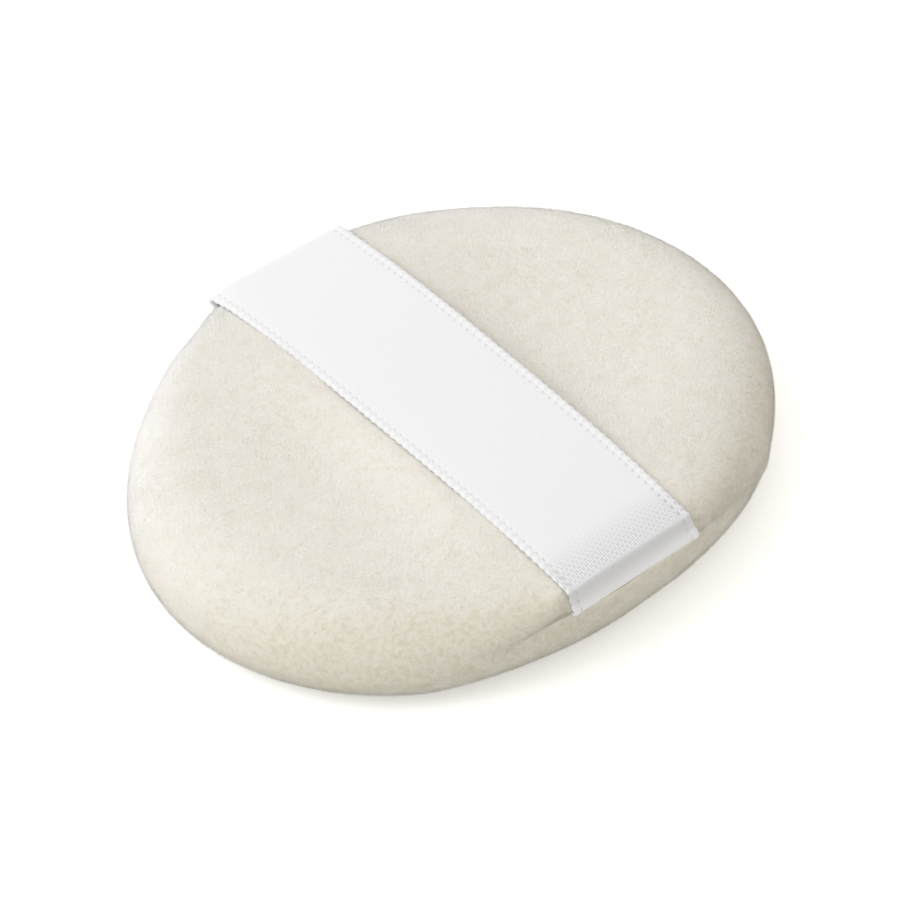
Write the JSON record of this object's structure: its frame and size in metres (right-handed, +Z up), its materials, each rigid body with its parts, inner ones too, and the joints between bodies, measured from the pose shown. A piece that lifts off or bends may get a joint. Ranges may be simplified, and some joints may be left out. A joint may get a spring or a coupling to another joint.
{
  "type": "powder puff",
  "caption": "Oval cushioned velour powder puff with a satin ribbon arched across its top, under which the fingers slide to hold it.",
  "frame": {"origin": "on the resting face, under the middle of the pad", "axes": "+X across the ribbon along the pad's long axis, +Y along the ribbon, +Z up out of the resting face"},
  "size_m": [0.0854, 0.0714, 0.0154],
  "materials": {
    "velour": "short dense cotton pile, matt, ivory",
    "satin": "woven polyester satin with a soft sheen, white",
    "foam": "open-cell foam, matt, off-white",
    "thread": "spun polyester sewing thread, off-white"
  },
  "bodies": {
    "pad": {"upper_cover": "velour", "lower_cover": "velour", "foam_core": "foam", "seam_needle_thread": "thread", "seam_bobbin_thread": "thread", "closing_thread": "thread", "ribbon_end_near": "satin", "ribbon_end_far": "satin"},
    "ribbon": {"ribbon_span": "satin"}
  },
  "joints": [
    {"name": "ribbon_lift", "type": "slide", "parent": "pad", "child": "ribbon", "axis": [0, 0, 1], "range_m": [0, 0.006], "deforming": ["ribbon_end_near", "ribbon_end_far"]}
  ]
}
